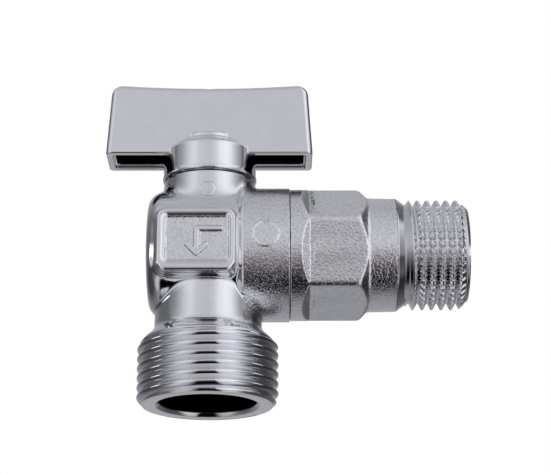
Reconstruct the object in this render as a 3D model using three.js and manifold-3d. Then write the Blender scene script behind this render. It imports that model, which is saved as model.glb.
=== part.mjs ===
// Angle stop valve: a quarter-turn ball valve with a T-handle, a G 1/2 male inlet and a G 3/4 male outlet.
// Millimetres, +Z up along the stem, +X out of the inlet. The origin is the centre of the inlet's end face.
// Every piece is built about the ball's centre, and one group then moves the ball's centre to its place.
import * as THREE from "three";
import { mergeVertices } from "three/addons/utils/BufferGeometryUtils.js";
import Module from "manifold-3d";

const wasm = await Module();
wasm.setup();

// ---------------------------------------------------------------- driving dimensions
const INLET_REACH = 49.0; // stem axis to the inlet's end face
const OUTLET_DROP = 29.3; // inlet axis to the outlet's sealing face
const BACK_REACH = 11.4; // stem axis to the barrel's closed end
const SEAM_X = 15.4; // where the connector's collar meets the barrel

// ISO 228 parallel pipe threads, 14 to the inch
const PITCH = 1.814;
const OUTLET_THREAD = { major: 13.22, minor: 12.06 };
const INLET_THREAD = { major: 10.48, minor: 9.32 };
const CREST_HALF_FLAT = 0.15;
const FLANK_SLOPE = Math.tan(THREE.MathUtils.degToRad(27.5));

const BARREL_RADIUS = 12.75; // the barrel's inlet end
const CHAMBER_RADIUS_OUTER = 12.05; // the barrel around the ball
const CHAMBER_RADIUS = 9.0;
const SPIGOT_BORE = 10.3; // the barrel's bore around the connector's spigot
const OUTLET_NECK_RADIUS = 10.1;
const STEM_NECK_RADIUS = 8.75;
const NECK_SHOULDER_Z = 13.9;
const NECK_SPIGOT_RADIUS = 7.4;
const NECK_TOP_Z = 16.5;

const BALL_RADIUS = 8.5;
const BALL_PORT = 5.0;
const SEAT = { clearance: 0.15, bore: 5.4, outer: 8.6, inner_x: 4.6, outer_x: 7.7 };
const BALL_SLOT = { width: 4.2, floor: 5.7 };
const TANG = { width: 3.8, length: 8.4, foot: 5.95 };

const STEM_RADIUS = 4.0;
const STEM_BORE = 4.15;
const STEM_FLANGE = { radius: 5.3, low: 8.8, high: 9.9 };
const THRUST_POCKET = { radius: 5.6, top: 10.45 };
const STEM_SQUARE = { side: 6.0, low: 16.9, top: 22.2 };
const STEM_GROOVE = { radius: 2.7, height: 1.7, centres: [12.1, 14.9] };
const TAPPED_HOLE = { radius: 2.05, floor: 13.6 };

const SKIRT_BOTTOM_Z = 14.7;
const SKIRT_RADIUS = 8.93;
const SKIRT_BORE = 7.85;
const STOP = { low: 16.8, high: 18.3, inner: 4.9, outer: 7.2, body_span: 40, play: 2 };
const TRAVEL = 90; // degrees from open to closed

const BLADE = { low: 19.0, high: 33.65, half_low: 19.85, half_high: 18.95, corner: 2.0, sag: 0.7 };
const BLADE_DEPTH = { low: 10.1, high: 8.9 };
const BLADE_WALL = 1.6;
const BOSS_RADIUS = 5.9;
const SCREW_SEAT_Z = 25.4;

const ROUND = 32; // sides of a large round, and steps in each turn of a thread
const FINE = 24; // sides of a small round

// ---------------------------------------------------------------- solids
// A closed three.js geometry as a manifold-3d solid, turned right side out.
function solid(geometry) {
  const bare = geometry.clone();
  bare.deleteAttribute("normal");
  bare.deleteAttribute("uv");
  const merged = mergeVertices(bare, 1e-4);
  const made = new wasm.Manifold(
    new wasm.Mesh({
      numProp: 3,
      vertProperties: merged.attributes.position.array,
      triVerts: faceOut(merged),
    }),
  );
  return made;
}

// The triangles of an indexed geometry, without collapsed ones and with their faces pointing out.
function faceOut(merged) {
  const p = merged.attributes.position;
  const kept = [];
  let volume = 0;
  const [a, b, c] = [new THREE.Vector3(), new THREE.Vector3(), new THREE.Vector3()];
  for (let i = 0; i < merged.index.count; i += 3) {
    const [i0, i1, i2] = [0, 1, 2].map((k) => merged.index.getX(i + k));
    if (i0 === i1 || i1 === i2 || i2 === i0) continue;
    volume += a.fromBufferAttribute(p, i0).dot(
      b.fromBufferAttribute(p, i1).cross(c.fromBufferAttribute(p, i2)),
    );
    kept.push([i0, i1, i2]);
  }
  return new Uint32Array(kept.flatMap(([i0, i1, i2]) => (volume < 0 ? [i0, i2, i1] : [i0, i1, i2])));
}

// A solid as a three.js geometry with flat faces.
function geometryOf(made) {
  const mesh = made.getMesh();
  const geometry = new THREE.BufferGeometry();
  geometry.setAttribute("position", new THREE.BufferAttribute(mesh.vertProperties, 3));
  geometry.setIndex(new THREE.BufferAttribute(mesh.triVerts, 1));
  const flat = geometry.toNonIndexed();
  flat.computeVertexNormals();
  return flat;
}

// A profile of [radius, height] points turned about the Z axis.
function turnedZ(profile, sides = ROUND) {
  const points = profile.map(([r, h]) => new THREE.Vector2(r, h));
  return solid(new THREE.LatheGeometry(points, sides).rotateX(Math.PI / 2));
}

// A profile of [radius, x] points turned about the X axis.
function turnedX(profile, sides = ROUND) {
  const points = profile.map(([r, x]) => new THREE.Vector2(r, x));
  return solid(new THREE.LatheGeometry(points, sides).rotateZ(-Math.PI / 2));
}

// A rod from low to high along Z or X.
const rodZ = (radius, low, high, sides = ROUND) =>
  turnedZ([[0, low], [radius, low], [radius, high], [0, high]], sides);
const rodX = (radius, low, high, sides = ROUND) =>
  turnedX([[0, low], [radius, low], [radius, high], [0, high]], sides);

// A ring of round section about an axis.
const ringGeometry = (middle, section) => new THREE.TorusGeometry(middle, section, 8, FINE);

function box(low, high) {
  const size = high.map((h, i) => h - low[i]);
  const middle = high.map((h, i) => (h + low[i]) / 2);
  return solid(new THREE.BoxGeometry(...size).translate(...middle));
}

// A quarter arc of [radius, height] points from one point to another about a centre.
function arc(centre, radius, from, to, steps) {
  return Array.from({ length: steps + 1 }, (_, i) => {
    const angle = THREE.MathUtils.degToRad(from + ((to - from) * i) / steps);
    return [centre[0] + radius * Math.cos(angle), centre[1] + radius * Math.sin(angle)];
  });
}

// A rectangle with rounded corners, in the XY plane of a shape.
function roundedRectangle(left, bottom, right, top, corner) {
  const shape = new THREE.Shape();
  shape.moveTo(left + corner, bottom);
  shape.lineTo(right - corner, bottom);
  shape.absarc(right - corner, bottom + corner, corner, -Math.PI / 2, 0);
  shape.absarc(right - corner, top - corner, corner, 0, Math.PI / 2);
  shape.absarc(left + corner, top - corner, corner, Math.PI / 2, Math.PI);
  shape.absarc(left + corner, bottom + corner, corner, Math.PI, 1.5 * Math.PI);
  return shape;
}

// A shape drawn as (x, z) and extruded along Y from the nearer face to the further one.
function plateY(shape, near, far, options = {}) {
  const geometry = new THREE.ExtrudeGeometry(shape, {
    depth: far - near,
    bevelEnabled: false,
    curveSegments: 4,
    ...options,
  });
  return solid(geometry.rotateX(Math.PI / 2).translate(0, far, 0));
}

// A sector of a ring about Z, with angles in degrees.
function sectorZ(inner, outer, from, to, low, high) {
  const [a, b] = [from, to].map(THREE.MathUtils.degToRad);
  const shape = new THREE.Shape();
  shape.absarc(0, 0, outer, a, b, false);
  shape.absarc(0, 0, inner, b, a, true);
  shape.closePath();
  const options = { depth: high - low, bevelEnabled: false, curveSegments: 20 };
  return solid(new THREE.ExtrudeGeometry(shape, options).translate(0, 0, low));
}

// The ridge of a right-hand thread about Z: a trapezoid swept along a helix. It starts on the XZ plane at
// the first height and turns in step with the sides of the rounds it joins.
function threadRidge({ major, minor }, low, high) {
  const foot = minor - 0.2;
  const half = CREST_HALF_FLAT + (major - foot) * FLANK_SLOPE;
  const section = [[foot, -half], [major, -CREST_HALF_FLAT], [major, CREST_HALF_FLAT], [foot, half]];
  const steps = Math.ceil(((high - low) / PITCH) * ROUND);
  const positions = [];
  for (let i = 0; i <= steps; i++) {
    const angle = (i * 2 * Math.PI) / ROUND;
    const height = low + (i * PITCH) / ROUND;
    for (const [r, dz] of section) positions.push(r * Math.cos(angle), r * Math.sin(angle), height + dz);
  }
  const index = [0, 2, 1, 0, 3, 2];
  for (let i = 0; i < steps; i++)
    for (let k = 0; k < 4; k++) {
      const [a, b] = [i * 4 + k, i * 4 + ((k + 1) % 4)];
      index.push(a, b, a + 4, b, b + 4, a + 4);
    }
  const last = steps * 4;
  index.push(last, last + 1, last + 2, last, last + 2, last + 3);
  const geometry = new THREE.BufferGeometry();
  geometry.setAttribute("position", new THREE.Float32BufferAttribute(positions, 3));
  geometry.setIndex(index);
  return solid(geometry);
}

// ---------------------------------------------------------------- materials
const finish = (color, metalness, roughness) =>
  new THREE.MeshStandardMaterial({ color, metalness, roughness });
const CHROME = finish(0xc4c8ce, 1.0, 0.16);
const CAST_CHROME = finish(0xb4b5ba, 1.0, 0.3);
const BRASS = finish(0xc9a24e, 1.0, 0.35);
const PTFE = finish(0xf1efe8, 0.0, 0.5);
const RUBBER = finish(0x1c1c1e, 0.0, 0.75);
const STEEL = finish(0xa9abad, 1.0, 0.35);

const valve = new THREE.Group();
valve.position.x = -INLET_REACH;

function piece(name, made, material) {
  const mesh = new THREE.Mesh(geometryOf(made), material);
  mesh.name = name;
  valve.add(mesh);
}

// ---------------------------------------------------------------- forged body
const PAD = { left: -9.3, right: 5.9, bottom: -7.4, top: 5.2, face: 13.1, corner: 2.0 };
const RECESS = { left: -7.4, right: 4.5, bottom: -5.2, top: 3.4, depth: 0.6, corner: 0.8 };

// The barrel around the ball, with a rounded closed end and a wider inlet end.
function barrel() {
  const rim = 2.6;
  return turnedX([
    [0, -BACK_REACH],
    ...arc([CHAMBER_RADIUS_OUTER - rim, rim - BACK_REACH], rim, -90, 0, 4),
    [CHAMBER_RADIUS_OUTER, 5.4],
    [BARREL_RADIUS, 6.7],
    [BARREL_RADIUS, SEAM_X - 0.4],
    [BARREL_RADIUS - 0.3, SEAM_X - 0.1],
    [0, SEAM_X - 0.1],
  ]);
}

// The outlet below the barrel: a plain neck, a cone and the thread's core.
function outletCore() {
  return turnedZ([
    [0, -OUTLET_DROP],
    [OUTLET_THREAD.minor, -OUTLET_DROP],
    [OUTLET_THREAD.minor, -17.6],
    [OUTLET_THREAD.minor - 0.1, -17.0],
    [OUTLET_NECK_RADIUS, -14.7],
    [OUTLET_NECK_RADIUS, 0],
    [0, 0],
  ]);
}

// What the outlet's thread is trimmed to: chamfered ends on a cylinder of the major radius.
function outletEnvelope() {
  const out = OUTLET_THREAD.major + 0.02;
  return turnedZ([
    [0, -OUTLET_DROP],
    [12.3, -OUTLET_DROP],
    [out, -OUTLET_DROP + 0.95],
    [out, -18.1],
    [OUTLET_THREAD.minor, -16.8],
    [0, -16.8],
  ]);
}

// The neck around the stem, flared where it meets the barrel and stepped under the handle's skirt.
function stemNeck() {
  return turnedZ([
    [0, 0],
    [11.2, 0],
    [11.2, 6.0],
    [10.2, 8.2],
    [9.2, 10.6],
    [STEM_NECK_RADIUS, 12.8],
    [STEM_NECK_RADIUS, NECK_SHOULDER_Z - 0.4],
    [STEM_NECK_RADIUS - 0.4, NECK_SHOULDER_Z],
    [NECK_SPIGOT_RADIUS, NECK_SHOULDER_Z],
    [NECK_SPIGOT_RADIUS, NECK_TOP_Z],
    [0, NECK_TOP_Z],
  ]);
}

// A raised panel with a bevelled edge and a recess, on the barrel's front or back (side -1 or 1).
function panel(side) {
  const bevel = 0.5;
  const { left, right, bottom, top, face, corner } = PAD;
  const outline = roundedRectangle(left + bevel, bottom + bevel, right - bevel, top - bevel, corner);
  const raised = plateY(outline, -face + bevel, -5, {
    bevelEnabled: true,
    bevelSize: bevel,
    bevelThickness: bevel,
    bevelSegments: 1,
    curveSegments: 3,
  });
  const hollow = roundedRectangle(RECESS.left, RECESS.bottom, RECESS.right, RECESS.top, RECESS.corner);
  const cut = raised.subtract(plateY(hollow, -face - 1, -face + RECESS.depth, { curveSegments: 2 }));
  return side < 0 ? cut : cut.mirror([0, 1, 0]);
}

// A plain bent arrow from the inlet to the outlet, raised in the front panel's recess.
function flowArrow() {
  const shape = new THREE.Shape();
  const outline = [
    [3.3, 1.6], [-2.3, 1.6], [-2.3, -1.9], [-3.4, -1.9], [-1.5, -4.1], [0.4, -1.9], [-0.7, -1.9], [-0.7, 0],
    [3.3, 0],
  ];
  shape.setFromPoints(outline.map(([x, z]) => new THREE.Vector2(x, z)));
  return plateY(shape, -PAD.face + 0.15, -PAD.face + 1.2);
}

function outletBore() {
  return turnedZ([
    [0, -OUTLET_DROP - 1],
    [9.4, -OUTLET_DROP - 1],
    [9.4, -OUTLET_DROP],
    [9.15, -OUTLET_DROP + 0.3],
    [9.15, -19.3],
    [5.4, -17.2],
    [5.4, 0],
    [0, 0],
  ]);
}

function barrelBore() {
  return turnedX([
    [0, 2 - BACK_REACH],
    [5.2, 2 - BACK_REACH],
    [5.2, -SEAT.outer_x - 0.15],
    [CHAMBER_RADIUS, -SEAT.outer_x - 0.15],
    [CHAMBER_RADIUS, SEAT.outer_x + 0.3],
    [SPIGOT_BORE, SEAT.outer_x + 0.3],
    [SPIGOT_BORE, SEAM_X + 1],
    [0, SEAM_X + 1],
  ]);
}

function body() {
  const thread = threadRidge(OUTLET_THREAD, -19.8 - 6 * PITCH, -16.6);
  const outside = barrel()
    .add(outletCore())
    .add(stemNeck())
    .add(panel(-1))
    .add(panel(1))
    .add(flowArrow())
    .add(thread.intersect(outletEnvelope()));
  const stop = sectorZ(STOP.inner, STOP.outer, 0, STOP.body_span, NECK_TOP_Z - 0.5, STOP.high - 0.4)
    .rotate([0, 0, 90 - STOP.body_span / 2]);
  return outside
    .subtract(barrelBore())
    .subtract(outletBore())
    .subtract(rodZ(THRUST_POCKET.radius, 0, THRUST_POCKET.top, FINE))
    .subtract(rodZ(STEM_BORE, 0, NECK_TOP_Z + 1, FINE))
    .add(stop);
}

// ---------------------------------------------------------------- inlet connector
const COLLAR = { radius: 12.5, low: SEAM_X + 0.1, flats: 18.95, shoulder: 28.4 };
const HEX_APOTHEM = 11.0;
const HEX_TILT = 12.7; // degrees by which the front flat looks down
const SLEEVE = { radius: 10.85, low: 29.95, high: 35.4 };
const INLET_BORE = 6.4;

function connectorOutside() {
  return turnedX([
    [0, SEAT.outer_x + 0.15],
    [8.7, SEAT.outer_x + 0.15],
    [8.7, SEAT.outer_x + 0.6],
    [SPIGOT_BORE - 0.2, SEAT.outer_x + 0.8],
    [SPIGOT_BORE - 0.2, COLLAR.low],
    [COLLAR.radius - 0.2, COLLAR.low],
    [COLLAR.radius, COLLAR.low + 0.25],
    [COLLAR.radius, COLLAR.shoulder],
    [SLEEVE.radius, SLEEVE.low],
    [SLEEVE.radius - 0.1, SLEEVE.high],
    [INLET_THREAD.minor, SLEEVE.high + 1.8],
    [INLET_THREAD.minor, INLET_REACH - 0.4],
    [8.85, INLET_REACH],
    [0, INLET_REACH],
  ]);
}

// The thread is swept about Z, then laid along X.
function inletThread() {
  const out = INLET_THREAD.major + 0.02;
  const envelope = turnedX([
    [0, 36.9],
    [9.1, 36.9],
    [out, 38.0],
    [out, INLET_REACH - 1.6],
    [8.85, INLET_REACH],
    [0, INLET_REACH],
  ]);
  const ridge = threadRidge(INLET_THREAD, 38.77 - 2 * PITCH, INLET_REACH + 1.2).rotate([0, 90, 0]);
  return ridge.intersect(envelope);
}

// One spanner flat's cutter: a level cut with a sloping run-out towards the barrel.
function flatCutter(turn) {
  const shape = new THREE.Shape();
  const outline = [[17.55, 12.7], [COLLAR.flats, HEX_APOTHEM], [31, HEX_APOTHEM], [31, 15], [17.55, 15]];
  shape.setFromPoints(outline.map(([x, r]) => new THREE.Vector2(x, r)));
  const width = 20;
  const geometry = new THREE.ExtrudeGeometry(shape, { depth: width, bevelEnabled: false });
  return solid(geometry.translate(0, 0, -width / 2)).rotate([turn, 0, 0]);
}

function connectorBore() {
  return turnedX([
    [0, 0],
    [5.5, 0],
    [5.5, 18],
    [INLET_BORE, 20],
    [INLET_BORE, INLET_REACH - 0.3],
    [INLET_BORE + 0.3, INLET_REACH + 0.01],
    [INLET_BORE + 0.3, INLET_REACH + 1],
    [0, INLET_REACH + 1],
  ]);
}

const RING_GROOVE = { low: 9.4, high: 11.3, radius: 8.6 };

function connector() {
  let made = connectorOutside().add(inletThread());
  for (let i = 0; i < 6; i++) made = made.subtract(flatCutter(i * 60 + 180 + HEX_TILT));
  const groove = rodX(13, RING_GROOVE.low, RING_GROOVE.high, FINE).subtract(
    rodX(RING_GROOVE.radius, RING_GROOVE.low - 1, RING_GROOVE.high + 1, FINE),
  );
  return made.subtract(groove).subtract(connectorBore());
}

// ---------------------------------------------------------------- ball, seats and seals
// The L-port ball: one port towards the inlet, one along the turning axis to the outlet.
function ball() {
  const sphere = solid(new THREE.SphereGeometry(BALL_RADIUS, 32, 18).rotateX(Math.PI / 2));
  const elbow = rodX(BALL_PORT, 0, BALL_RADIUS + 1, FINE)
    .add(rodZ(BALL_PORT, -BALL_RADIUS - 1, 0, FINE))
    .add(solid(new THREE.SphereGeometry(BALL_PORT, FINE, 12).rotateX(Math.PI / 2)));
  const reach = BALL_RADIUS + 1;
  const slot = box(
    [-BALL_SLOT.width / 2, -reach, BALL_SLOT.floor],
    [BALL_SLOT.width / 2, reach, reach],
  );
  return sphere.subtract(elbow).subtract(slot);
}

// A PTFE ring with a spherical lip; side 1 is the inlet's and -1 the closed end's.
function seat(side) {
  const lip = BALL_RADIUS + SEAT.clearance;
  const from = THREE.MathUtils.radToDeg(Math.acos(SEAT.bore / lip));
  const to = THREE.MathUtils.radToDeg(Math.asin(SEAT.inner_x / lip));
  const ring = turnedX([
    [SEAT.bore, SEAT.outer_x],
    ...arc([0, 0], lip, from, to, 4),
    [SEAT.outer, SEAT.inner_x],
    [SEAT.outer, SEAT.outer_x],
    [SEAT.bore, SEAT.outer_x],
  ], 32);
  return side > 0 ? ring : ring.mirror([1, 0, 0]);
}

const stemRing = (height) => solid(ringGeometry(3.4, 0.66).translate(0, 0, height));

const connectorRing = () =>
  solid(ringGeometry(9.4, 0.75).rotateY(Math.PI / 2).translate((RING_GROOVE.low + RING_GROOVE.high) / 2, 0, 0));

function thrustWasher() {
  const [low, high] = [STEM_FLANGE.high + 0.05, THRUST_POCKET.top - 0.05];
  return turnedZ([[4.1, low], [5.4, low], [5.4, high], [4.1, high], [4.1, low]], FINE);
}

// ---------------------------------------------------------------- stem
function stem() {
  const square = STEM_SQUARE.side / 2;
  const shaft = rodZ(STEM_FLANGE.radius, STEM_FLANGE.low, STEM_FLANGE.high, FINE)
    .add(rodZ(STEM_RADIUS, STEM_FLANGE.low, STEM_SQUARE.low, FINE));
  const drive = box([-square, -square, STEM_SQUARE.low - 1], [square, square, STEM_SQUARE.top])
    .intersect(rodZ(STEM_RADIUS, STEM_SQUARE.low - 1, STEM_SQUARE.top, FINE));
  const tang = box(
    [-TANG.width / 2, -TANG.length / 2, TANG.foot],
    [TANG.width / 2, TANG.length / 2, STEM_FLANGE.low + 0.5],
  ).intersect(rodZ(TANG.length / 2, TANG.foot, STEM_FLANGE.high, FINE));
  let made = shaft.add(drive).add(tang);
  for (const centre of STEM_GROOVE.centres) {
    const [low, high] = [centre - STEM_GROOVE.height / 2, centre + STEM_GROOVE.height / 2];
    const ring = rodZ(STEM_RADIUS + 1, low, high, FINE)
      .subtract(rodZ(STEM_GROOVE.radius, low - 1, high + 1, FINE));
    made = made.subtract(ring);
  }
  return made.subtract(rodZ(TAPPED_HOLE.radius, TAPPED_HOLE.floor, STEM_SQUARE.top + 1, 24));
}

// ---------------------------------------------------------------- handle and its screw
// The blade's outline seen from the front: tapering sides, round top corners and a slightly hollow top.
function bladeOutline(inset = 0) {
  const { low, high, half_low, half_high, corner, sag } = BLADE;
  const [halfLow, halfHigh, top] = [half_low - inset, half_high - inset, high - inset];
  const shape = new THREE.Shape();
  shape.moveTo(-halfLow, low);
  shape.lineTo(halfLow, low);
  shape.lineTo(halfHigh, top - corner);
  shape.quadraticCurveTo(halfHigh - 0.1, top - 0.05, halfHigh - corner, top);
  shape.quadraticCurveTo(0, top - 2 * sag, corner - halfHigh, top);
  shape.quadraticCurveTo(0.1 - halfHigh, top - 0.05, -halfHigh, top - corner);
  shape.closePath();
  return shape;
}

// The blade's depth narrows towards its top, so its front and back are cut by two sloping planes.
function bladeBlock(outline, depthLow, depthHigh) {
  const lean = Math.atan((depthLow - depthHigh) / 2 / (BLADE.high - BLADE.low));
  const block = plateY(outline, -depthLow, depthLow, { curveSegments: 6 });
  const front = new THREE.Vector3(0, -Math.cos(lean), Math.sin(lean));
  const offset = -front.dot(new THREE.Vector3(0, -depthLow / 2, BLADE.low));
  return block
    .trimByPlane([0, Math.cos(lean), -Math.sin(lean)], offset)
    .trimByPlane([0, -Math.cos(lean), -Math.sin(lean)], offset);
}

function hub() {
  return turnedZ([
    [0, SKIRT_BOTTOM_Z],
    [SKIRT_RADIUS - 0.15, SKIRT_BOTTOM_Z],
    [SKIRT_RADIUS, SKIRT_BOTTOM_Z + 0.2],
    [8.85, 19.2],
    [8.55, 20.1],
    [7.6, 21.2],
    [BOSS_RADIUS, 22.2],
    [BOSS_RADIUS, 23.1],
    [BOSS_RADIUS - 0.2, 23.3],
    [0, 23.3],
  ]);
}

// The two pockets that core the blade out from below, one on each side of the hub.
function bladePockets() {
  const slim = BLADE_DEPTH.low - 2 * BLADE_WALL;
  const inner = bladeBlock(bladeOutline(BLADE_WALL), slim, BLADE_DEPTH.high - 2 * BLADE_WALL);
  const core = box([-6.2, -10, 0], [6.2, 10, 40]).add(rodZ(9.0, 0, 21.9));
  return inner.subtract(core);
}

function stopWeb() {
  const span = 360 - STOP.body_span - TRAVEL - 2 * STOP.play;
  const start = 90 + STOP.body_span / 2 + STOP.play + TRAVEL;
  return sectorZ(4.4, SKIRT_BORE + 0.2, 0, span, STOP.low, STOP.high + 0.2).rotate([0, 0, start]);
}

function handle() {
  const blade = bladeBlock(bladeOutline(), BLADE_DEPTH.low, BLADE_DEPTH.high).subtract(bladePockets());
  const socket = STEM_SQUARE.side / 2 + 0.2;
  return blade
    .add(hub())
    .subtract(rodZ(SKIRT_BORE, 0, STOP.high, 40))
    .add(stopWeb())
    .subtract(box([-socket, -socket, 10], [socket, socket, STEM_SQUARE.top + 0.3]))
    .subtract(rodZ(2.2, STEM_SQUARE.top, BLADE.high + 1, 24))
    .subtract(rodZ(3.8, SCREW_SEAT_Z, BLADE.high + 1, 24));
}

const SCREW = { shank: 1.85, tip: 15.2, head_low: 26.1, head_radius: 3.4 };

function screw() {
  const { shank, tip, head_low, head_radius } = SCREW;
  const turned = turnedZ([
    [0, tip],
    [shank - 0.5, tip],
    [shank, tip + 0.5],
    [shank, head_low],
    [head_radius, head_low],
    [head_radius, head_low + 1.3],
    [head_radius - 0.9, head_low + 2.2],
    [0, head_low + 2.5],
  ], 24);
  const [arm, half] = [2.0, 0.45];
  const cross = box([-arm, -half, head_low + 1], [arm, half, head_low + 4])
    .add(box([-half, -arm, head_low + 1], [half, arm, head_low + 4]));
  return turned.subtract(cross);
}

function springWasher() {
  const [low, high] = [SCREW_SEAT_Z + 0.05, SCREW.head_low - 0.05];
  return turnedZ([[2.1, low], [3.5, low], [3.5, high], [2.1, high], [2.1, low]], 24);
}

// ---------------------------------------------------------------- assembly
piece("valve_body", body(), CAST_CHROME);
piece("inlet_connector", connector(), CAST_CHROME);
piece("connector_o_ring", connectorRing(), RUBBER);
piece("inlet_seat", seat(1), PTFE);
piece("back_seat", seat(-1), PTFE);
piece("ball", ball(), CHROME);
piece("stem", stem(), BRASS);
piece("stem_thrust_washer", thrustWasher(), PTFE);
piece("stem_o_ring_lower", stemRing(STEM_GROOVE.centres[0]), RUBBER);
piece("stem_o_ring_upper", stemRing(STEM_GROOVE.centres[1]), RUBBER);
piece("handle", handle(), CHROME);
piece("handle_lock_washer", springWasher(), STEEL);
piece("handle_screw", screw(), STEEL);

export default new THREE.Group().add(valve);
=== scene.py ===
"""The looks of the angle stop valve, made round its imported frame.

The forged body, the connector and the handle are modelled as fields: smooth functions of a point that are
negative inside the metal. A mesh is drawn on each field's zero surface, thinned where the surface is flat,
and then every vertex is set on the surface again, so that the chrome mirrors cleanly. The threads are swept
strips of vertices that follow their helix. Shapes are in millimetres about the ball's centre, with the stem
up +Z and the inlet out along +X, and become metres in the row's frame when their piece is made.
"""

import math

import bmesh
import bpy
import numpy as np
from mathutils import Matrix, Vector


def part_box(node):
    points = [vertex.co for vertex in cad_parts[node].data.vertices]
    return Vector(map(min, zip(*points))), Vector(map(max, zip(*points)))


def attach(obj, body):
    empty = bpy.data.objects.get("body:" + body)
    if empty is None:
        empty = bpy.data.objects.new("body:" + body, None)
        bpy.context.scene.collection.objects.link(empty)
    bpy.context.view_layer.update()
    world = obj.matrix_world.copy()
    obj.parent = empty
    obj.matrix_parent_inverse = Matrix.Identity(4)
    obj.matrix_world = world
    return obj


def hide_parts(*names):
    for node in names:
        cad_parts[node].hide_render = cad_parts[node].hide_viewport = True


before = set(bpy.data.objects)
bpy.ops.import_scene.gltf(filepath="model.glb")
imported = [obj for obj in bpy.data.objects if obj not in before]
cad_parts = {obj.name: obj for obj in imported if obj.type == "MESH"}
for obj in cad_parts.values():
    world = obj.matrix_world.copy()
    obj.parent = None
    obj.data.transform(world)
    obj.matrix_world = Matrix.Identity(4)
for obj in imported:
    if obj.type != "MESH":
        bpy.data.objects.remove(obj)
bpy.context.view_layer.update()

MM = 0.001


def middle(node):
    low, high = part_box(node)
    return (low + high) / 2


# ---------------------------------------------------------------- sizes, in mm about the ball's centre
STEM = middle("stem")
CENTRE = Vector((STEM.x, STEM.y, 0))  # the ball's centre, in the row's frame
INLET_REACH = -STEM.x / MM
OUTLET_DROP = -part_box("valve_body")[0].z / MM

PITCH = 1.814  # both threads, 14 to the inch
OUTLET_MAJOR, OUTLET_MINOR = 13.22, 12.06  # radii of the G 3/4 thread
INLET_MAJOR, INLET_MINOR = 10.48, 9.32  # radii of the G 1/2 thread

BACK_REACH = 11.4  # out to the rim of the barrel's closed end
BACK_CROWN = 0.9  # how much that end domes from its rim to its middle
SEAM_X = 15.4  # where the connector meets the barrel
BARREL_RADIUS = 12.75
CHAMBER_OUTER = 12.05  # the barrel's slimmer radius round the ball
OUTLET_NECK = 10.1
NECK_END = 13.2  # down to where the turned outlet takes over from the forging
STEM_NECK = 8.75
NECK_SHOULDER = 14.3


# ---------------------------------------------------------------- fields
def blend_union(a, b, k):
    """Union of two fields with a fillet about k wide."""
    h = np.maximum(k - np.abs(a - b), 0) / k
    return np.minimum(a, b) - h**3 * (k / 6)


def blend_cut(a, b, k):
    """Field a with field b cut away, and a rounded rim about k wide."""
    return -blend_union(-a, b, k)


def blend_both(a, b, k):
    """What two fields share, with an edge rounded about k wide."""
    return -blend_union(-a, -b, k)


def ease(x, low, high):
    t = np.clip((x - low) / (high - low), 0, 1)
    return t * t * (3 - 2 * t)


def rounded_rectangle(u, v, left, bottom, right, top, corner):
    """Signed distance in a plane to a rectangle with rounded corners."""
    du = np.abs(u - (left + right) / 2) - (right - left) / 2 + corner
    dv = np.abs(v - (bottom + top) / 2) - (top - bottom) / 2 + corner
    outside = np.hypot(np.maximum(du, 0), np.maximum(dv, 0))
    return outside + np.minimum(np.maximum(du, dv), 0) - corner


def segment(u, v, u0, v0, u1, v1):
    """Distance in a plane to a line segment."""
    du, dv = u1 - u0, v1 - v0
    t = np.clip(((u - u0) * du + (v - v0) * dv) / (du * du + dv * dv), 0, 1)
    return np.hypot(u - u0 - t * du, v - v0 - t * dv)


# ---------------------------------------------------------------- meshes from fields
def surface_net(field, low, high, step):
    """Vertices and quads on a field's zero surface, one vertex in each cell that the surface crosses."""
    axes = [np.arange(lo - 2 * step, hi + 2.5 * step, step) for lo, hi in zip(low, high)]
    shape = tuple(len(a) for a in axes)
    values = np.empty(shape, dtype=np.float32)
    for i, x in enumerate(axes[0]):
        y, z = np.meshgrid(axes[1], axes[2], indexing="ij")
        values[i] = field(np.full_like(y, x), y, z)
    inside = values < 0
    total = np.zeros(tuple(n - 1 for n in shape) + (3,), dtype=np.float32)
    count = np.zeros(total.shape[:3], dtype=np.int16)
    crossings = []
    for axis in range(3):
        near = [slice(None)] * 3
        far = [slice(None)] * 3
        near[axis], far[axis] = slice(None, -1), slice(1, None)
        near, far = tuple(near), tuple(far)
        crossed = inside[near] != inside[far]
        at = np.argwhere(crossed)
        a, b = values[near][crossed], values[far][crossed]
        points = at.astype(np.float32)
        points[:, axis] += a / (a - b)
        crossings.append((axis, at, inside[near][crossed]))
        others = [k for k in range(3) if k != axis]
        for p in (0, 1):
            for q in (0, 1):
                cell = at.copy()
                cell[:, others[0]] -= p
                cell[:, others[1]] -= q
                index = tuple(cell.T)
                np.add.at(total, index, points)
                np.add.at(count, index, 1)
    used = count > 0
    number = np.full(count.shape, -1, dtype=np.int64)
    number[used] = np.arange(used.sum())
    origin = np.array([a[0] for a in axes])
    vertices = total[used] / count[used][:, None] * step + origin
    quads = []
    for axis, at, starts_inside in crossings:
        u, v = (axis + 1) % 3, (axis + 2) % 3
        corners = []
        for p, q in ((1, 1), (0, 1), (0, 0), (1, 0)):
            cell = at.copy()
            cell[:, u] -= p
            cell[:, v] -= q
            corners.append(number[tuple(cell.T)])
        quad = np.stack(corners, axis=1)
        quad[~starts_inside] = quad[~starts_inside][:, ::-1]
        quads.append(quad)
    return vertices, np.concatenate(quads)


def slopes(field, points, reach=0.01):
    """The field's gradient at some points."""
    found = []
    for axis in range(3):
        step = np.zeros(3)
        step[axis] = reach
        found.append((field(*(points + step).T) - field(*(points - step).T)) / (2 * reach))
    return np.stack(found, axis=1)


def settle(field, points, rounds=4, most=0.15):
    """Moves points onto the field's zero surface along its gradient."""
    for _ in range(rounds):
        g = slopes(field, points)
        move = -field(*points.T)[:, None] * g / np.maximum((g * g).sum(1, keepdims=True), 1e-6)
        length = np.linalg.norm(move, axis=1, keepdims=True)
        points = points + move * np.minimum(1, most / np.maximum(length, 1e-9))
    return points


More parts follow.
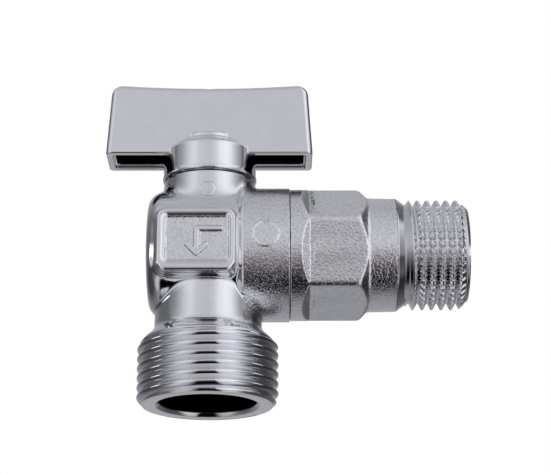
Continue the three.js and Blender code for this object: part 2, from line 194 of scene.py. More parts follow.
def coordinates(mesh):
    flat = np.empty(len(mesh.vertices) * 3)
    mesh.vertices.foreach_get("co", flat)
    return flat.reshape(-1, 3)


def new_mesh(name, vertices, faces):
    mesh = bpy.data.meshes.new(name)
    mesh.from_pydata(np.asarray(vertices).tolist(), [], [list(map(int, f)) for f in faces])
    mesh.update()
    return mesh


def thinned(mesh, ratio):
    """The mesh with fewer faces, most of them where it bends."""
    holder = bpy.data.objects.new("thinning", mesh)
    bpy.context.collection.objects.link(holder)
    modifier = holder.modifiers.new("thin", "DECIMATE")
    modifier.ratio = ratio
    result = bpy.data.meshes.new_from_object(
        holder.evaluated_get(bpy.context.evaluated_depsgraph_get())
    )
    bpy.data.objects.remove(holder)
    return result


def field_mesh(name, field, low, high, step, ratio):
    """A thinned mesh set on the field's surface, and the places of its vertices."""
    vertices, quads = surface_net(field, low, high, step)
    mesh = thinned(new_mesh(name, settle(field, vertices), quads), ratio)
    points = settle(field, coordinates(mesh), rounds=3)
    mesh.vertices.foreach_set("co", points.ravel())
    mesh.update()
    return mesh, points


def piece(name, mesh, body, nodes, material, normals=None):
    """Puts a mesh, in mm about the ball's centre, into the row's frame as a piece of the object."""
    points = coordinates(mesh) * MM + np.array(CENTRE)
    mesh.vertices.foreach_set("co", points.ravel())
    mesh.polygons.foreach_set("use_smooth", [True] * len(mesh.polygons))
    if normals is not None:
        mesh.normals_split_custom_set_from_vertices(normals.tolist())
    mesh.update()
    made = bpy.data.objects.new(name, mesh)
    bpy.context.collection.objects.link(made)
    mesh.materials.append(material)
    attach(made, body)
    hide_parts(*nodes)
    return made


def field_piece(name, field, low, high, step, ratio, body, nodes, material):
    mesh, points = field_mesh(name, field, low, high, step, ratio)
    normals = slopes(field, points)
    normals /= np.maximum(np.linalg.norm(normals, axis=1, keepdims=True), 1e-9)
    return piece(name, mesh, body, nodes, material, normals)


# ---------------------------------------------------------------- forged body
PAD_FACE = 13.1
PAD_ROOT = 12.0  # the depth at which the panel's outline has its stated size
RECESS_FLOOR = 12.4
PAD_BOX = (-9.5, -7.0, 5.5, 5.4)  # left, bottom, right and top
RECESS_BOX = (-7.5, -4.7, 3.85, 3.45)
STOP_LOW, STOP_HIGH = 16.8, 18.3  # the height of the stop inside the handle's skirt

CHAMBER_BORE, CHAMBER_END = 9.0, 7.85
SPIGOT_BORE, SPIGOT_ROOM = 10.3, 7.8  # the radius and the inner end of the room for the connector
BACK_BORE = 5.2
BACK_WALL = 2.0
OUTLET_BORE = 5.4
FLANGE_BORE, FLANGE_TOP = 5.6, 10.45  # room for the stem's flange
STEM_BORE = 4.15
NECK_FLARE = 1.9  # how much wider the stem neck is at its foot
TIP_RADIUS = 7.4  # the neck's slim end inside the handle's skirt
ARROW_HALF = 0.48


def rounded_corner(a, b, radius):
    """What two perpendicular fields share, with a true radius at the corner."""
    u, v = a + radius, b + radius
    return np.minimum(np.maximum(u, v), 0) + np.hypot(np.maximum(u, 0), np.maximum(v, 0)) - radius


def barrel(x, y, z):
    """The barrel along X: slimmer round the ball, domed at its back and square at the seam."""
    radius = CHAMBER_OUTER + (BARREL_RADIUS - CHAMBER_OUTER) * ease(x, 5.3, 6.7)
    crown = BACK_CROWN / 2 - BACK_CROWN * (np.hypot(y, z) / BARREL_RADIUS) ** 2
    closed = rounded_corner(np.hypot(y, z) - radius, -x - BACK_REACH - crown, 2.6)
    return rounded_corner(closed, x - SEAM_X + 0.07, 0.12)


def pad(x, z, t):
    """A raised panel on the barrel. t is the distance out from the valve's middle plane."""
    draft = (t - PAD_ROOT) * 0.15
    outline = rounded_rectangle(x, z, *PAD_BOX, 2.1) + draft
    raised = blend_both(np.maximum(outline, 5 - t), t - PAD_FACE, 1.1)
    opening = rounded_rectangle(x, z, *RECESS_BOX, 0.5) - (t - RECESS_FLOOR) * 1.1
    recess = blend_both(opening * 0.7, RECESS_FLOOR - t, 0.25)
    return blend_cut(raised, recess, 0.75)


def flow_arrow(x, z, t):
    """A plain bent arrow on the recess's floor, from the inlet's side down towards the outlet."""
    shaft = np.minimum(segment(x, z, 2.7, 1.3, -1.9, 1.3), segment(x, z, -1.9, 1.3, -1.9, -3.2))
    head = np.minimum(segment(x, z, -1.9, -3.5, -3.6, -1.8), segment(x, z, -1.9, -3.5, -0.2, -1.8))
    flat = np.minimum(shaft, head) - ARROW_HALF
    return blend_both(flat, np.abs(t - RECESS_FLOOR) - 0.42, 0.4)


def ring_on(skin, u, v, radius, section):
    """A ring of round section that lies in a surface, drawn in the plane of u and v."""
    return np.hypot(np.hypot(u, v) - radius, skin) - section


def bores(x, y, z):
    """The water's way through the body and the hole for the stem."""
    rho_x, rho_z = np.hypot(y, z), np.hypot(x, y)
    chamber = np.maximum(rho_x - CHAMBER_BORE, np.abs(x) - CHAMBER_END)
    spigot = np.maximum(rho_x - SPIGOT_BORE, np.maximum(SPIGOT_ROOM - x, x - SEAM_X - 2))
    relief = np.maximum(rho_x - BACK_BORE, np.maximum(BACK_WALL - BACK_REACH - x, x))
    outlet = np.maximum(rho_z - OUTLET_BORE, z)
    flange_room = np.maximum(rho_z - FLANGE_BORE, np.maximum(-z, z - FLANGE_TOP))
    stem_hole = np.maximum(rho_z - STEM_BORE, -z)
    found = np.minimum(np.minimum(chamber, spigot), np.minimum(relief, outlet))
    return np.minimum(found, np.minimum(flange_room, stem_hole))


def body_field(x, y, z):
    """The forging: barrel, outlet neck, stem neck, panels, marks and bores, and the handle's stop."""
    t = -y
    rho = np.hypot(x, y)
    outlet_neck = np.maximum(rho - OUTLET_NECK, np.maximum(z, -z - NECK_END))
    flare = NECK_FLARE * ease(z, 10.8, 5.2) ** 2
    stem_neck = rounded_corner(rho - STEM_NECK - flare, np.abs(z - 4.0) + 4.0 - NECK_SHOULDER, 0.3)
    tip = rounded_corner(rho - TIP_RADIUS, np.abs(z - 10) - 6.5, 0.3)
    made = blend_union(barrel(x, y, z), outlet_neck, 0.9)
    made = blend_union(made, stem_neck, 2.4)
    made = blend_union(made, tip, 0.2)
    front = blend_union(pad(x, z, t), flow_arrow(x, z, t), 0.3)
    made = blend_union(made, front, 1.0)
    made = blend_union(made, pad(x, z, y), 1.0)
    front_only = np.where(y < 0, 0, 50)
    made = blend_union(made, ring_on(made, x - 10.8, z - 0.4, 2.4, 0.12) + front_only, 0.3)
    made = blend_cut(made, ring_on(made, x, z - 10.4, 1.4, 0.06) + front_only, 0.2)
    made = blend_cut(made, bores(x, y, z), 0.3)
    stop_lug = np.maximum(np.abs(rho - 6.05) - 1.15, np.abs(x) - y * math.tan(math.radians(20)))
    return np.minimum(made, np.maximum(stop_lug, np.abs(z - 16.9) - 1.0))


# ---------------------------------------------------------------- connector
HEX_APOTHEM = 11.0
HEX_TILT = math.radians(12.7)  # how far the front flat leans from upright
COLLAR = 12.5  # the collar's radius
CHAMFER_X = 28.4  # where the hexagon's chamfer leaves the collar's radius
SLEEVE, SLEEVE_TAPER = 10.86, 0.018
SLEEVE_START, SLEEVE_END = 29.9, 35.4
SPIGOT, SPIGOT_START = 10.1, 7.95
GROOVE_FLOOR, GROOVE_X, GROOVE_HALF = 8.6, 10.35, 0.95  # the rubber ring's groove


def connector_field(x, y, z):
    """Collar, hexagon and sleeve outside, and the spigot with its groove inside the barrel."""
    rho = np.hypot(y, z)
    cone = (x - CHAMFER_X) * 0.729 + (rho - COLLAR) * 0.685
    block = rounded_corner(rho - COLLAR, SEAM_X - x, 0.12)
    block = blend_both(block, cone, 0.7)
    for k in range(6):
        angle = math.pi + HEX_TILT + k * math.pi / 3
        out = y * math.cos(angle) + z * math.sin(angle)
        run_out = ((x - 17.55) * 1.7 + (out - 12.7) * 1.4) / 2.2
        block = blend_both(block, blend_union(out - HEX_APOTHEM, run_out, 0.3), 0.4)
    sleeve = rho - SLEEVE + (x - SLEEVE_START) * SLEEVE_TAPER
    sleeve = np.maximum(sleeve, np.maximum(x - SLEEVE_END, 20 - x))
    spigot = np.maximum(rho - SPIGOT, np.maximum(SPIGOT_START - x, x - 20))
    groove = np.maximum(GROOVE_FLOOR - rho, np.abs(x - GROOVE_X) - GROOVE_HALF)
    made = blend_union(block, sleeve, 0.5)
    made = np.minimum(made, np.maximum(spigot, -groove))
    bore = rho - (5.5 + 0.9 * np.clip((x - 18) / 2, 0, 1))
    return blend_cut(made, bore, 0.25)


# ---------------------------------------------------------------- handle
BLADE_LOW, BLADE_HIGH = 19.0, 33.65
BLADE_HALF, BLADE_TAPER = 19.85, 0.063
BLADE_HALF_DEPTH, BLADE_DRAFT = 5.05, 0.042
BLADE_CORNER, BLADE_HOLLOW = 2.2, 0.75  # the top corners' radius, and how far the top sags
POCKET_START = 8.8  # the radius outside which the blade is cored out
SKIRT_BOTTOM, SKIRT_RADIUS = 14.7, 8.93
SKIRT_MOUTH, SKIRT_STEP = 8.55, 0.7  # the bore's radius at the lip, and how much it narrows inside
SHOULDER_Z, SHOULDER_RADIUS, CONE_SLOPE = 20.3, 9.0, 1.5
BOSS_RADIUS, BOSS_TOP = 6.0, 23.3
SQUARE_HALF = 3.2  # the socket for the stem's square
SCREW_HOLE = 2.2
SCREW_SEAT, SCREW_SEAT_Z = 3.8, 25.4
WEB_START, WEB_END = math.radians(68), math.radians(202)  # the stop's way round inside the skirt


def blade_outline(x, z, inset):
    """The blade seen from the front: tapering sides, round top corners and a slightly hollow top."""
    side = np.abs(x) - BLADE_HALF + (z - BLADE_LOW) * BLADE_TAPER + inset
    top = z - BLADE_HIGH + BLADE_HOLLOW * (1 - np.minimum(np.abs(x) / 19.0, 1) ** 2) + inset
    return rounded_corner(side, top, BLADE_CORNER - inset * 0.5)


def blade_faces(y, z, inset):
    """The blade's two broad faces, drafted towards the top."""
    return np.abs(y) - BLADE_HALF_DEPTH + (z - BLADE_LOW) * BLADE_DRAFT + inset


def hub_radius(z):
    """The hub's outside: a skirt with a fine lip, a round shoulder and a cone up to the boss."""
    lip = 0.12 * np.exp(-(((z - SKIRT_BOTTOM - 0.35) / 0.35) ** 2))
    skirt = SKIRT_RADIUS - 0.015 * (z - SKIRT_BOTTOM) + lip
    cone = SHOULDER_RADIUS - CONE_SLOPE * (z - SHOULDER_Z)
    return blend_union(skirt, cone, 0.7)


def handle_field(x, y, z):
    """The handle: a blade cored out from below, a hub with a boss, and a skirt with its stop inside."""
    rho = np.hypot(x, y)
    blade = rounded_corner(blade_outline(x, z, 0), blade_faces(y, z, 0), 1.1)
    blade = blend_both(blade, BLADE_LOW - z, 0.6)
    wall = 1.35 + 0.35 * ease(z, BLADE_LOW + 0.6, BLADE_LOW + 0.8)
    pocket = rounded_corner(blade_outline(x, z, wall), blade_faces(y, z, wall), 0.5)
    pocket = blend_both(pocket, np.maximum(POCKET_START - rho, BLADE_LOW - 3 - z), 0.2)
    blade = blend_cut(blade, pocket, 0.3)
    hub = (rho - hub_radius(z)) * 0.7
    hub = blend_both(hub, np.maximum(SKIRT_BOTTOM - z, z - 24.5), 0.3)
    boss = np.maximum(rounded_corner(rho - BOSS_RADIUS, z - BOSS_TOP, 0.5), 20 - z)
    made = blend_union(blade, blend_union(hub, boss, 0.4), 0.2)
    skirt_bore = np.maximum(rho - SKIRT_MOUTH + SKIRT_STEP * ease(z, 15.3, 16.4), z - STOP_HIGH)
    gap = np.maximum(
        math.sin(WEB_START) * x - math.cos(WEB_START) * y,
        math.cos(WEB_END) * y - math.sin(WEB_END) * x,
    )
    web = np.maximum(np.maximum(4.4 - rho, -gap), STOP_LOW - z)
    made = blend_cut(made, np.maximum(skirt_bore, -web), 0.25)
    socket = np.maximum(np.maximum(np.abs(x), np.abs(y)) - SQUARE_HALF, np.abs(z - 17.5) - 5.0)
    screw_hole = np.maximum(rho - SCREW_HOLE, 20 - z)
    made = np.maximum(made, -np.minimum(socket, screw_hole))
    return blend_cut(made, np.maximum(rho - SCREW_SEAT, SCREW_SEAT_Z - z), 0.4)


# ---------------------------------------------------------------- turned pieces and threads
def turned(profile, sides):
    """Vertices and faces of a closed [radius, height] profile turned about the Z axis."""
    vertices, faces = [], []
    count = len(profile)
    for i in range(sides):
        angle = 2 * math.pi * i / sides
        for r, h in profile:
            vertices.append((r * math.cos(angle), r * math.sin(angle), h))
    for i in range(sides):
        here, there = i * count, (i + 1) % sides * count
        for k in range(count):
            n = (k + 1) % count
            faces.append((here + k, there + k, there + n, here + n))
    return vertices, faces


def rounded_profile(corners, radius, steps=3):
    """A closed profile whose corners are rounded; a corner may have a radius of its own."""
    points = []
    count = len(corners)
    for i, corner in enumerate(corners):
        here = Vector(corner[:2])
        before = Vector(corners[i - 1][:2]) - here
        after = Vector(corners[(i + 1) % count][:2]) - here
        own = corner[2] if len(corner) > 2 else radius
        reach = min(own, before.length * 0.45, after.length * 0.45)
        a, b = here + before.normalized() * reach, here + after.normalized() * reach
        for k in range(steps + 1):
            t = k / steps
            points.append(tuple(a * (1 - t) ** 2 + here * (2 * t * (1 - t)) + b * t * t))
    return points


# A ridge's flanks, as depths below the crest and distances along the axis from its middle: those of
# a true 55 degree thread, and a fuller, rounder one for the outlet's lower side.
FLANK = [(depth, 0.16 + depth * math.tan(math.radians(27.5))) for depth in (1.5, 0.7, 0.2, 0.1)]
FLANK.append((0.02, 0.14))
ROUND_FLANK = [(1.5, 1.3), (1.1, 1.08), (0.72, 0.86), (0.42, 0.62), (0.2, 0.38), (0.05, 0.16)]
OUTLET_CREST, INLET_CREST = -19.807, 38.64  # where a crest of each thread passes angle 0
EMERGE = 0.02  # the turned outlet comes out of the forging's neck and stands this much proud of it
NOTCHES = 42  # in each turn of the inlet's thread
NOTCH_DEPTH, NOTCH_HALF = 0.75, 0.22  # in mm, and as a share of the way from one notch to the next
NOTCH_START = 39.4


def thread_strip(major, low, high, start, envelope, steps, below=FLANK, notch=None):
    """A closed helical ridge about Z, from its flank below the crest and its flank above.

    start is a crest's height at angle 0, and envelope a limit to the radius at each height.
    """
    section = [(major - depth, -offset) for depth, offset in below]
    section.append((major, 0.0))
    section += [(major - depth, offset) for depth, offset in reversed(FLANK)]
    first = math.floor((low - 1.2 - start) / PITCH * steps)
    last = math.ceil((high + 1.2 - start) / PITCH * steps)
    vertices, faces = [], []
    count = len(section)
    for i in range(first, last + 1):
        angle = 2 * math.pi * i / steps
        height = start + i * PITCH / steps
        for r, offset in section:
            h = min(max(height + offset, low), high)
            r = min(r, envelope(h))
            if notch:
                r = notch(r, h, angle)
            vertices.append((r * math.cos(angle), r * math.sin(angle), h))
    for i in range(last - first):
        here, there = i * count, (i + 1) * count
        for k in range(count):
            n = (k + 1) % count
            faces.append((here + k, there + k, there + n, here + n))
    faces.append(tuple(range(count)))
    faces.append(tuple(range((last - first + 1) * count - 1, (last - first) * count - 1, -1)))
    return vertices, faces


def cleaned(name, parts, to_x=False):
    """One mesh from several lists of vertices and faces, without collapsed faces."""
    vertices, faces = [], []
    for more_vertices, more_faces in parts:
        base = len(vertices)
        vertices += more_vertices
        faces += [tuple(base + k for k in face) for face in more_faces]
    if to_x:
        vertices = [(z, y, -x) for x, y, z in vertices]
    mesh = new_mesh(name, vertices, faces)
    work = bmesh.new()
    work.from_mesh(mesh)
    bmesh.ops.dissolve_degenerate(work, dist=1e-4, edges=work.edges)
    bmesh.ops.recalc_face_normals(work, faces=work.faces)
    work.to_mesh(mesh)
    work.free()
    return mesh


def sharpened(made, degrees=32):
    """Keeps edges sharper than an angle crisp, and the rest smooth."""
    work = bmesh.new()
    work.from_mesh(made.data)
    for edge in work.edges:
        edge.smooth = len(edge.link_faces) == 2 and edge.calc_face_angle() < math.radians(degrees)
    work.to_mesh(made.data)
    work.free()


def outlet_end():
    """The machined outlet: flare, thread's core, sealing face and mouth, with the thread wound on it."""
    bottom = -OUTLET_DROP
    profile = rounded_profile([
        (5.45, 0.6 - NECK_END, 0.0),
        (OUTLET_NECK - EMERGE, 0.6 - NECK_END, 0.0),
        (OUTLET_NECK + EMERGE, -NECK_END, 0.0),
        (OUTLET_NECK + EMERGE, -15.0, 1.2),
        (12.35, -17.15, 0.3),
        (12.35, -17.6, 0.2),
        (OUTLET_MINOR, -17.9, 0.1),
        (OUTLET_MINOR, bottom + 0.35, 0.1),
        (11.95, bottom, 0.2),
        (9.75, bottom, 0.12),
        (9.2, bottom + 0.6, 0.12),
        (9.1, bottom + 0.75, 0.1),
        (9.1, -19.3, 0.1),
        (5.4, -17.2, 0.3),
    ], 0.15)

    def envelope(h):
        lower = OUTLET_MAJOR - max(bottom + 1.1 - h, 0) * 0.95
        upper = OUTLET_MAJOR - max(h + 18.15, 0) * 1.1
        return min(lower, upper)

    strip = thread_strip(
        OUTLET_MAJOR, bottom + 0.02, -16.9, OUTLET_CREST, envelope, 144, below=ROUND_FLANK
    )
    return cleaned("outlet_end", [turned(profile, 192), strip])


def inlet_end():
    """The inlet's thread, with notches across its crests that hold sealing tape."""
    profile = rounded_profile([
        (6.45, 35.4, 0.0),
        (10.76, 35.4, 0.0),
        (10.7, 35.55, 0.05),
        (9.6, 37.1, 0.25),
        (INLET_MINOR, 37.7, 0.2),
        (INLET_MINOR, INLET_REACH - 0.55, 0.1),
        (8.75, INLET_REACH, 0.12),
        (6.75, INLET_REACH, 0.12),
        (6.4, INLET_REACH - 0.4, 0.12),
        (6.4, 36.0, 0.0),
    ], 0.15)

    def envelope(h):
        outer = INLET_MAJOR - max(h - INLET_REACH + 1.7, 0) * 0.95
        inner = INLET_MAJOR - max(38.0 - h, 0) * 1.2
        return min(outer, inner)

    def notch(r, h, angle):
        if h < NOTCH_START or r < INLET_MINOR + 0.3:
            return r
        phase = (angle * NOTCHES / (2 * math.pi)) % 1.0
        cut = max(0.0, 1 - abs(phase - 0.5) / NOTCH_HALF)
        return r - NOTCH_DEPTH * cut

    strip = thread_strip(
        INLET_MAJOR, 36.8, INLET_REACH - 0.02, INLET_CREST, envelope, NOTCHES * 12, notch=notch
    )
    return cleaned("inlet_end", [turned(profile, 160), strip], to_x=True)


# ---------------------------------------------------------------- materials, with lengths in metres
CHROME = (0.80, 0.80, 0.82)
BRASS_AND_BORE_SHADE = (0.035, 0.022, 0.014, 1)  # bare brass, painted near-black for the shade inside the bore
PIT_COLOUR, PIT_SHARE = (0.24, 0.22, 0.225, 1), 0.2
GRAIN_SIZE, GRAIN_ROUGHNESS = 0.00042, 0.04
RIPPLE_SIZE, FINE_SIZE, FINE_SHARE = 0.0011, 0.00012, 0.12


class Nodes:
    """Short ways to add shader nodes to a tree."""

    def __init__(self, tree):
        self.tree = tree

    def add(self, kind, **settings):
        node = self.tree.nodes.new(kind)
        for key, value in settings.items():
            setattr(node, key, value)
        return node

    def link(self, source, target):
        self.tree.links.new(source, target)

    def feed(self, socket, value):
        """Sets a socket to a value, or links it to another node's output."""
        if isinstance(value, bpy.types.NodeSocket):
            self.link(value, socket)
        else:
            socket.default_value = value

    def math(self, operation, a, b=0.0):
        node = self.add("ShaderNodeMath", operation=operation)
        self.feed(node.inputs[0], a)
        self.feed(node.inputs[1], b)
        return node.outputs[0]

    def mixed(self, factor, a, b, blend="MIX"):
        """Colour a where the factor is 0 and colour b where it is 1."""
        node = self.add("ShaderNodeMix", data_type="RGBA", blend_type=blend)
        self.feed(node.inputs[0], factor)
        self.feed(node.inputs[6], a)
        self.feed(node.inputs[7], b)
        return node.outputs[2]

    def between(self, value, low, high):
        """From 0 at low to 1 at high, eased."""
        node = self.add("ShaderNodeMapRange", interpolation_type="SMOOTHSTEP")
        self.link(value, node.inputs["Value"])
        node.inputs["From Min"].default_value = low
        node.inputs["From Max"].default_value = high
        return node.outputs["Result"]

    def noise(self, place, size, detail=2.0, roughness=0.5):
        """Noise whose lumps are about size metres across."""
        node = self.add("ShaderNodeTexNoise")
        self.link(place, node.inputs["Vector"])
        node.inputs["Scale"].default_value = 1 / size
        node.inputs["Detail"].default_value = detail
        node.inputs["Roughness"].default_value = roughness
        return node.outputs["Fac"]

    def bore_shaded(self, place, tone, radius):
        """A tone that turns to bare brass painted near-black as shade, within radius of the stem's axis."""
        centred = self.add("ShaderNodeVectorMath", operation="SUBTRACT")
        self.link(place, centred.inputs[0])
        centred.inputs[1].default_value = CENTRE
        flat = self.add("ShaderNodeVectorMath", operation="MULTIPLY")
        self.link(centred.outputs[0], flat.inputs[0])
        flat.inputs[1].default_value = (1, 1, 0)
        length = self.add("ShaderNodeVectorMath", operation="LENGTH")
        self.link(flat.outputs[0], length.inputs[0])
        outside = self.between(length.outputs["Value"], radius - 0.0001, radius)
        return self.mixed(outside, BRASS_AND_BORE_SHADE, tone)

    def ramp(self, value, stops):
        node = self.add("ShaderNodeValToRGB")
        ramp = node.color_ramp
        while len(ramp.elements) > 1:
            ramp.elements.remove(ramp.elements[-1])
        for k, (place, colour) in enumerate(stops):
            stop = ramp.elements[0] if k == 0 else ramp.elements.new(place)
            stop.position = place
            stop.color = (*colour, 1)
        self.link(value, node.inputs["Fac"])
        return node.outputs["Color"]


def plated(name, colour, smooth_bump, grain_bump=0.0, grain_region=None, roughness=0.09, shaded_bore=0.0):
    """Chrome plate: clear mirror with fine ripple, and a blasted grain where grain_region says.

    Within the bore's given radius of the stem's axis the plate turns to bare brass, painted near-black as
    shade.
    """
    material = bpy.data.materials.new(name)
    material.use_nodes = True
    nodes = Nodes(material.node_tree)
    shader = material.node_tree.nodes["Principled BSDF"]
    shader.inputs["Metallic"].default_value = 1.0
    place = nodes.add("ShaderNodeTexCoord").outputs["Object"]
    stain = nodes.noise(place, 0.004, 3.0)
    tone = nodes.ramp(stain, [(0.3, [c * 0.95 for c in colour]), (0.7, colour)])
    # painted shade: inside the bore the tone turns to near-black brass
    if shaded_bore:
        tone = nodes.bore_shaded(place, tone, shaded_bore)
    ripple = nodes.math("MULTIPLY", nodes.noise(place, RIPPLE_SIZE, 2.0), smooth_bump)
    fine = nodes.math("MULTIPLY", nodes.noise(place, FINE_SIZE, 1.0), smooth_bump * FINE_SHARE)
    height = nodes.math("ADD", ripple, fine)
    rough = nodes.math("MULTIPLY", nodes.noise(place, 0.0006, 3.0), 0.08)
    rough = nodes.math("ADD", rough, roughness - 0.04)
    if grain_bump:
        region = grain_region(nodes, place)
        grain = nodes.noise(place, GRAIN_SIZE, 2.0, 0.6)
        pits = nodes.math("MULTIPLY", nodes.between(grain, 0.5, 0.38), region)
        tone = nodes.mixed(nodes.math("MULTIPLY", pits, PIT_SHARE), tone, PIT_COLOUR)
        grain = nodes.math("MULTIPLY", grain, grain_bump)
        height = nodes.math("ADD", height, nodes.math("MULTIPLY", grain, region))
        rough = nodes.math("ADD", rough, nodes.math("MULTIPLY", region, GRAIN_ROUGHNESS))
    nodes.link(tone, shader.inputs["Base Color"])
    nodes.link(rough, shader.inputs["Roughness"])
    bump = nodes.add("ShaderNodeBump")
    bump.inputs["Distance"].default_value = 1.0
    nodes.link(height, bump.inputs["Height"])
    nodes.link(bump.outputs["Normal"], shader.inputs["Normal"])
    return material


def body_grain(nodes, place):
    """The blasted part of the forging: its inlet end, and the floor of each panel's recess."""
    axes = nodes.add("ShaderNodeSeparateXYZ")
    nodes.link(place, axes.inputs[0])
    x, y, z = axes.outputs
    left = CENTRE.x
    inlet_end = nodes.between(x, left + 0.0062, left + 0.0072)
    out = nodes.math("ABSOLUTE", y)
    floor = nodes.between(out, 0.0117, 0.0120)
    floor = nodes.math("MULTIPLY", floor, nodes.between(out, 0.01275, 0.0126))
    floor = nodes.math("MULTIPLY", floor, nodes.between(x, left + 0.0052, left + 0.0048))
    return nodes.math("MAXIMUM", inlet_end, floor)


def everywhere(nodes, place):
    """The grain's region on a piece that is blasted all over."""
    return 1.0


def plain(name, colour, roughness, metallic=0.0, grain=0.0005, bump=0.00001):
    """A simple finish with a fine mottle in its colour, gloss and surface."""
    material = bpy.data.materials.new(name)
    material.use_nodes = True
    nodes = Nodes(material.node_tree)
    shader = material.node_tree.nodes["Principled BSDF"]
    shader.inputs["Metallic"].default_value = metallic
    place = nodes.add("ShaderNodeTexCoord").outputs["Object"]
    mottle = nodes.noise(place, grain, 3.0)
    tone = nodes.ramp(mottle, [(0.3, [c * 0.85 for c in colour]), (0.7, colour)])
    nodes.link(tone, shader.inputs["Base Color"])
    rough = nodes.math("ADD", nodes.math("MULTIPLY", mottle, 0.15), roughness - 0.07)
    nodes.link(rough, shader.inputs["Roughness"])
    height = nodes.add("ShaderNodeBump")
    height.inputs["Distance"].default_value = bump
    nodes.link(mottle, height.inputs["Height"])
    nodes.link(height.outputs["Normal"], shader.inputs["Normal"])
    return material


body_plate = plated("body_chrome", CHROME, 0.000008, 0.0001, body_grain)
connector_plate = plated("connector_chrome", CHROME, 0.000008, 0.000085, everywhere)
# painted shade: the outlet's bore is near-black brass
outlet_plate = plated("outlet_chrome_bore_shade", CHROME, 0.000002, roughness=0.06, shaded_bore=0.0092)
inlet_plate = plated("inlet_chrome", CHROME, 0.000002, roughness=0.07)
handle_plate = plated("handle_chrome", (0.83, 0.83, 0.85), 0.000004, roughness=0.07)

# ---------------------------------------------------------------- the object
field_piece(
    "valve_body_forging", body_field, (-12.2, -13.4, -14.8), (15.6, 13.4, 18.2), 0.24, 0.35,
    "housing", ["valve_body"], body_plate,
)
outlet = piece("valve_body_outlet", outlet_end(), "housing", ["valve_body"], outlet_plate)
sharpened(outlet)
field_piece(
    "inlet_connector_hexagon", connector_field, (7.8, -12.8, -12.8), (35.6, 12.8, 12.8), 0.24, 0.35,
    "housing", ["inlet_connector"], connector_plate,
)
inlet = piece(
    "inlet_connector_thread", inlet_end(), "housing", ["inlet_connector"], inlet_plate
)
sharpened(inlet)
field_piece(
    "handle_casting", handle_field, (-20.2, -9.2, 14.5), (20.2, 9.2, 33.6), 0.26, 0.35,
    "handle_and_stem", ["handle"], handle_plate,
)

FINISHES = {
    "ball": plated("ball_chrome", CHROME, 0.000002, roughness=0.06),
    "stem": plain("stem_brass", (0.62, 0.42, 0.15), 0.3, metallic=1.0),
    "inlet_seat": plain("seat_ptfe", (0.86, 0.85, 0.80), 0.45),
    "connector_o_ring": plain("seal_rubber", (0.012, 0.012, 0.013), 0.6),
    "handle_screw": plain("screw_steel", (0.52, 0.53, 0.55), 0.3, metallic=1.0),
}
SAME_FINISH = {
    "back_seat": "inlet_seat",
    "stem_thrust_washer": "inlet_seat",
    "stem_o_ring_lower": "connector_o_ring",
    "stem_o_ring_upper": "connector_o_ring",
    "handle_lock_washer": "handle_screw",
}
for node in [*FINISHES, *SAME_FINISH]:
    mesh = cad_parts[node].data
    mesh.materials.clear()
    mesh.materials.append(FINISHES[SAME_FINISH.get(node, node)])

# ---------------------------------------------------------------- stage, light and camera
FLOOR_Z, FLOOR_HALF = -0.17, 3
CHROME_REFLECTS = 0.78  # the share of the light that chrome sends back
floor_mesh = bpy.data.meshes.new("floor")
around = [(-1, -1), (1, -1), (1, 1), (-1, 1)]
floor_mesh.from_pydata([(x * FLOOR_HALF, y * FLOOR_HALF, FLOOR_Z) for x, y in around], [], [(0, 1, 2, 3)])
floor = bpy.data.objects.new("floor", floor_mesh)
bpy.context.collection.objects.link(floor)
pale = bpy.data.materials.new("floor")
pale.use_nodes = True
pale.node_tree.nodes["Principled BSDF"].inputs["Base Color"].default_value = (0.8, 0.8, 0.8, 1)
pale.node_tree.nodes["Principled BSDF"].inputs["Roughness"].default_value = 0.8
floor_mesh.materials.append(pale)
floor.visible_glossy = False


def shade(value, warm=0.0):
    """A wall's light from how bright its mirror image looks, 0 to 255. It is slightly blue unless warm."""
    light = (value / 255) ** 2.2 / CHROME_REFLECTS
    return (light * (0.985 + 1.1 * warm), light * (1.0 - 0.3 * warm), light * (1.06 - 0.4 * warm))


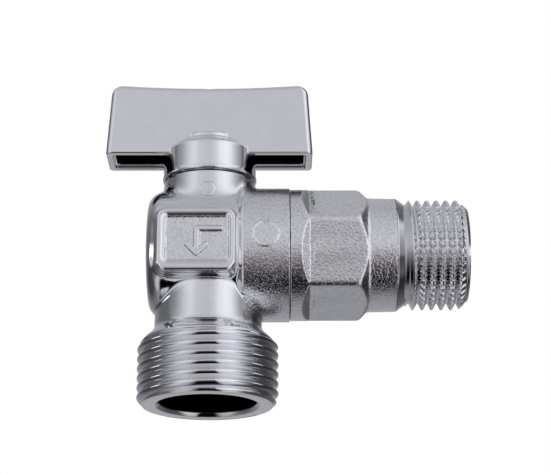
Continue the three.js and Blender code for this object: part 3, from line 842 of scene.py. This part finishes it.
def studio():
    """A pale room as mirrors see it, with a dark patch below and lights far to each side.

    The camera sees plain white instead.
    """
    world = bpy.data.worlds.new("studio")
    bpy.context.scene.world = world
    world.use_nodes = True
    nodes = Nodes(world.node_tree)
    background = world.node_tree.nodes["Background"]
    axes = nodes.add("ShaderNodeSeparateXYZ")
    nodes.link(nodes.add("ShaderNodeTexCoord").outputs["Generated"], axes.inputs[0])
    x, y, z = axes.outputs
    # how far round the X axis a direction lies, in turns: 0 is behind, 0.25 below and 0.5 in front
    round_x = nodes.math("ARCTAN2", z, nodes.math("MULTIPLY", y, -1.0))
    turn = nodes.math("ADD", nodes.math("DIVIDE", round_x, 2 * math.pi), 0.5)
    # and how far it leans to the side: 0 is straight along -X, 0.5 neither way and 1 along +X
    sideways = nodes.math("DIVIDE", nodes.math("ARCSINE", x), math.pi)
    sideways = nodes.math("ADD", sideways, 0.5)

    def at(degrees):
        """The turn for an angle above straight ahead; angles below it are negative."""
        return (degrees + 180) / 360

    # the walls round the middle, with the dark patch, and those that stand to the sides of it
    meridian = nodes.ramp(turn, [
        (at(-180), shade(158)),
        (at(-150), shade(150)),
        (at(-112), shade(140)),
        (at(-95), shade(108)),
        (at(-86), shade(58, 0.05)),
        (at(-77), shade(14, 0.1)),
        (at(-60), shade(12, 0.15)),
        (at(-47), shade(50, 0.2)),
        (at(-32), shade(96, 0.18)),
        (at(-14), shade(148, 0.08)),
        (at(-2), shade(184)),
        (at(18), shade(198)),
        (at(60), shade(184)),
        (at(100), shade(166)),
        (at(150), shade(166)),
        (at(180), shade(158)),
    ])
    low_side = nodes.ramp(turn, [
        (at(-180), shade(158)),
        (at(-112), shade(140)),
        (at(-70), shade(170)),
        (at(-20), shade(192)),
        (at(0), shade(198)),
        (at(60), shade(184)),
        (at(180), shade(158)),
    ])

    def across(degrees):
        """The sideways value for an angle towards +X."""
        return degrees / 180 + 0.5

    column = nodes.math(
        "MULTIPLY",
        nodes.between(sideways, across(-23), across(-9)),
        nodes.between(sideways, across(17.5), across(12)),
    )
    walls = nodes.mixed(column, low_side, meridian)
    # the room's lower corners, far to each side, are dull
    aside = nodes.math("ABSOLUTE", nodes.math("SUBTRACT", sideways, 0.5))
    corner = nodes.math(
        "MULTIPLY",
        nodes.between(aside, 36 / 180, 54 / 180),
        nodes.between(turn, at(-8), at(-30)),
    )
    walls = nodes.mixed(corner, walls, (*shade(110), 1))

    def level(value):
        """How much brighter or darker a wall looks, at half the light so that a ramp can hold it."""
        return [value**2.2 / 2] * 3

    front = nodes.ramp(sideways, [
        (across(-82), level(1.7)),
        (across(-77), level(0.62)),
        (across(-69), level(0.70)),
        (across(-59), level(0.86)),
        (across(-47), level(1.02)),
        (across(-35), level(1.09)),
        (across(-23), level(1.00)),
        (across(-11), level(0.95)),
        (across(1), level(0.93)),
        (across(12), level(0.99)),
        (across(24), level(1.15)),
        (across(38), level(1.22)),
        (across(49), level(1.17)),
        (across(60), level(0.96)),
        (across(71), level(0.68)),
        (across(75), level(0.6)),
        (across(81), level(1.35)),
    ])
    behind = nodes.ramp(sideways, [
        (across(-82), level(1.7)),
        (across(-77), level(0.55)),
        (across(-72), level(0.55)),
        (across(-50), level(0.6)),
        (across(-30), level(0.8)),
        (across(-8), level(1.0)),
        (across(8), level(1.0)),
        (across(25), level(0.62)),
        (across(55), level(0.42)),
        (across(76), level(0.45)),
        (across(82), level(1.35)),
    ])
    lights = nodes.mixed(nodes.between(y, -0.12, 0.12), front, behind)
    nodes.link(nodes.mixed(1.0, walls, lights, blend="MULTIPLY"), background.inputs["Color"])
    background.inputs["Strength"].default_value = 2.0
    white = nodes.add("ShaderNodeBackground")
    white.inputs["Color"].default_value = (1, 1, 1, 1)
    seen = nodes.add("ShaderNodeMixShader")
    nodes.link(nodes.add("ShaderNodeLightPath").outputs["Is Camera Ray"], seen.inputs[0])
    nodes.link(background.outputs[0], seen.inputs[1])
    nodes.link(white.outputs[0], seen.inputs[2])
    nodes.link(seen.outputs[0], world.node_tree.nodes["World Output"].inputs["Surface"])


studio()

# the camera stands in front, lower than the valve, and looks up at it
camera = bpy.data.objects.new("camera", bpy.data.cameras.new("camera"))
bpy.context.collection.objects.link(camera)
camera.location = CENTRE + Vector((11.768, -322.005, -102.784)) * MM
camera.rotation_euler = (math.radians(90 + 18.301), math.radians(0.09), math.radians(-0.116))
camera.data.sensor_width = 36
camera.data.lens = 116.05
camera.data.clip_start, camera.data.clip_end = 0.01, 20
bpy.context.scene.camera = camera
bpy.context.scene.view_settings.view_transform = "Standard"
